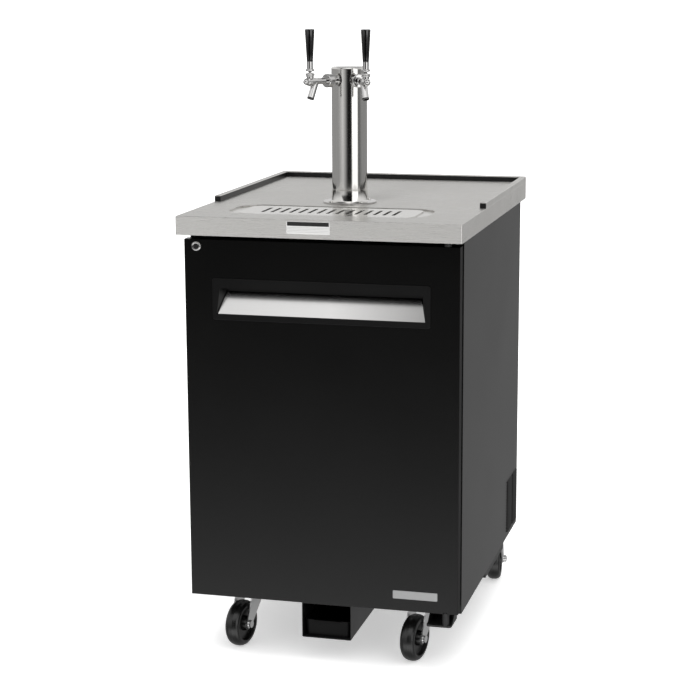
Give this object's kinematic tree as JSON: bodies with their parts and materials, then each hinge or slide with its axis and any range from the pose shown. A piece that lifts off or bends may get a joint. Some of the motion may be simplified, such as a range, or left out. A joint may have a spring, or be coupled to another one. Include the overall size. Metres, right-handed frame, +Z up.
{
  "type": "two-faucet keg cooler",
  "caption": "Direct-draw beer cooler: black insulated cabinet on swivel casters, stainless counter with drain basin, beer tower with faucets and a hinged door with a recessed pull.",
  "frame": {"origin": "on the floor under the middle of the counter", "axes": "+Z up, -Y is the door side, +X is the hinge side"},
  "size_m": [0.6, 0.781, 1.3225],
  "materials": {
    "black_coated_steel": "satin black vinyl-coated steel with a fine leather grain",
    "black_frame": "semi-matt black powder coat",
    "foam": "sealed insulating foam",
    "liner_aluminium": "satin sheet",
    "stainless": "brushed stainless steel",
    "tower_steel": "polished stainless steel",
    "faucet_chrome": "polished chrome",
    "handle_black": "moulded black plastic",
    "label": "blank printed sheet with a dark band",
    "badge": "blank plate",
    "door_plastic": "formed white plastic",
    "seal": "black flexible seal",
    "coil": "plain fins and tube",
    "copper_line": "copper tube",
    "machine_black": "gloss black enamel",
    "fan_plastic": "moulded dark plastic",
    "zinc": "bright zinc plate",
    "wheel_rubber": "black tread"
  },
  "bodies": {
    "cabinet": {"side_panel_left": "black_coated_steel", "side_panel_right": "black_coated_steel", "rear_panel": "black_coated_steel", "front_frame": "black_coated_steel", "base_pan": "black_frame", "hinge_brackets": "black_frame", "tray_channel": "black_frame", "cabinet_foam": "foam", "inner_liner": "liner_aluminium", "evaporator_cover": "liner_aluminium", "counter_top": "stainless", "drain_basin": "stainless", "keg_floor": "stainless", "tower_column": "tower_steel", "tower_cap": "tower_steel", "tower_flange": "tower_steel", "tower_screws": "tower_steel", "faucet_shanks": "faucet_chrome", "faucet_collars": "faucet_chrome", "faucet_body_left": "faucet_chrome", "faucet_body_right": "faucet_chrome", "faucet_bonnets": "faucet_chrome", "counter_rail": "handle_black", "counter_label": "label", "entry_bushings": "seal", "evaporator_coil": "coil", "condenser_coil": "coil", "refrigerant_lines": "copper_line", "compressor": "machine_black", "fan_motors": "machine_black", "caster_plates": "zinc", "caster_bolts": "zinc"},
    "door": {"door_skin": "black_coated_steel", "door_foam": "foam", "door_liner": "door_plastic", "door_gasket": "seal", "handle_bezel": "handle_black", "handle_plate": "stainless", "lock_barrel": "faucet_chrome", "badge_plate": "badge"},
    "lock": {"lock_plug": "faucet_chrome"},
    "grate": {"drain_grate": "stainless"},
    "tray": {"waste_tray": "handle_black"},
    "lever_left": {"faucet_lever_left": "faucet_chrome", "tap_handle_left": "handle_black"},
    "lever_right": {"faucet_lever_right": "faucet_chrome", "tap_handle_right": "handle_black"},
    "valve_left": {"valve_shaft_left": "faucet_chrome"},
    "valve_right": {"valve_shaft_right": "faucet_chrome"},
    "cold_fan": {"evaporator_fan": "fan_plastic"},
    "warm_fan": {"condenser_fan": "fan_plastic"},
    "knob": {"thermostat_knob": "handle_black"},
    "fork_front_left": {"caster_fork_front_left": "zinc"},
    "wheel_front_left": {"caster_wheel_front_left": "wheel_rubber"},
    "fork_front_right": {"caster_fork_front_right": "zinc"},
    "wheel_front_right": {"caster_wheel_front_right": "wheel_rubber"},
    "fork_rear_left": {"caster_fork_rear_left": "zinc"},
    "wheel_rear_left": {"caster_wheel_rear_left": "wheel_rubber"},
    "fork_rear_right": {"caster_fork_rear_right": "zinc"},
    "wheel_rear_right": {"caster_wheel_rear_right": "wheel_rubber"}
  },
  "joints": [
    {"name": "door_hinge", "type": "hinge", "parent": "cabinet", "child": "door", "pos_m": [0.264, -0.356, 0.5], "axis": [0, 0, 1], "range_deg": [0, 120]},
    {"name": "lock_turn", "type": "hinge", "parent": "door", "child": "lock", "pos_m": [-0.2645, -0.35, 0.885], "axis": [0, 1, 0], "range_deg": [0, 90]},
    {"name": "grate_lift", "type": "slide", "parent": "cabinet", "child": "grate", "axis": [0, 0, 1], "range_m": [0, 0.15]},
    {"name": "tray_slide", "type": "slide", "parent": "cabinet", "child": "tray", "axis": [0, -1, 0], "range_m": [0, 0.25]},
    {"name": "lever_left", "type": "hinge", "parent": "cabinet", "child": "lever_left", "pos_m": [-0.06721, -0.18612, 1.228], "axis": [0.8462, -0.5329, 0], "range_deg": [0, 28]},
    {"name": "valve_left", "type": "slide", "parent": "cabinet", "child": "valve_left", "axis": [0.5329, 0.8462, 0], "range_m": [0, 0.0072]},
    {"name": "lever_right", "type": "hinge", "parent": "cabinet", "child": "lever_right", "pos_m": [0.05321, -0.18612, 1.228], "axis": [0.8462, 0.5329, 0], "range_deg": [0, 28]},
    {"name": "valve_right", "type": "slide", "parent": "cabinet", "child": "valve_right", "axis": [-0.5329, 0.8462, 0], "range_m": [0, 0.0072]},
    {"name": "evaporator_fan_spin", "type": "hinge", "parent": "cabinet", "child": "cold_fan", "pos_m": [0, 0.177, 0.745], "axis": [0, 1, 0], "continuous": true},
    {"name": "condenser_fan_spin", "type": "hinge", "parent": "cabinet", "child": "warm_fan", "pos_m": [0.202, 0.28, 0.235], "axis": [1, 0, 0], "continuous": true},
    {"name": "thermostat_turn", "type": "hinge", "parent": "cabinet", "child": "knob", "pos_m": [0.165, 0.14, 0.668], "axis": [0, -1, 0], "range_deg": [0, 270]},
    {"name": "swivel_front_left", "type": "hinge", "parent": "cabinet", "child": "fork_front_left", "pos_m": [-0.1935, -0.2615, 0.1158], "axis": [0, 0, 1], "continuous": true},
    {"name": "spin_front_left", "type": "hinge", "parent": "fork_front_left", "child": "wheel_front_left", "pos_m": [-0.2014, -0.29867, 0.05], "axis": [-0.9781, 0.2079, 0], "continuous": true},
    {"name": "swivel_front_right", "type": "hinge", "parent": "cabinet", "child": "fork_front_right", "pos_m": [0.1935, -0.2615, 0.1158], "axis": [0, 0, 1], "continuous": true},
    {"name": "spin_front_right", "type": "hinge", "parent": "fork_front_right", "child": "wheel_front_right", "pos_m": [0.1856, -0.29867, 0.05], "axis": [-0.9781, 0.2079, 0], "continuous": true},
    {"name": "swivel_rear_left", "type": "hinge", "parent": "cabinet", "child": "fork_rear_left", "pos_m": [-0.258, 0.2425, 0.1158], "axis": [0, 0, 1], "continuous": true},
    {"name": "spin_rear_left", "type": "hinge", "parent": "fork_rear_left", "child": "wheel_rear_left", "pos_m": [-0.26171, 0.28032, 0.05], "axis": [0.9952, 0.0976, 0], "continuous": true},
    {"name": "swivel_rear_right", "type": "hinge", "parent": "cabinet", "child": "fork_rear_right", "pos_m": [0.258, 0.2425, 0.1158], "axis": [0, 0, 1], "continuous": true},
    {"name": "spin_rear_right", "type": "hinge", "parent": "fork_rear_right", "child": "wheel_rear_right", "pos_m": [0.25429, 0.28032, 0.05], "axis": [0.9952, 0.0976, 0], "continuous": true}
  ],
  "couplings": [
    {"joint": "valve_left", "follows": "lever_left", "m_per_rad": 0.0144},
    {"joint": "valve_right", "follows": "lever_right", "m_per_rad": 0.0144}
  ]
}
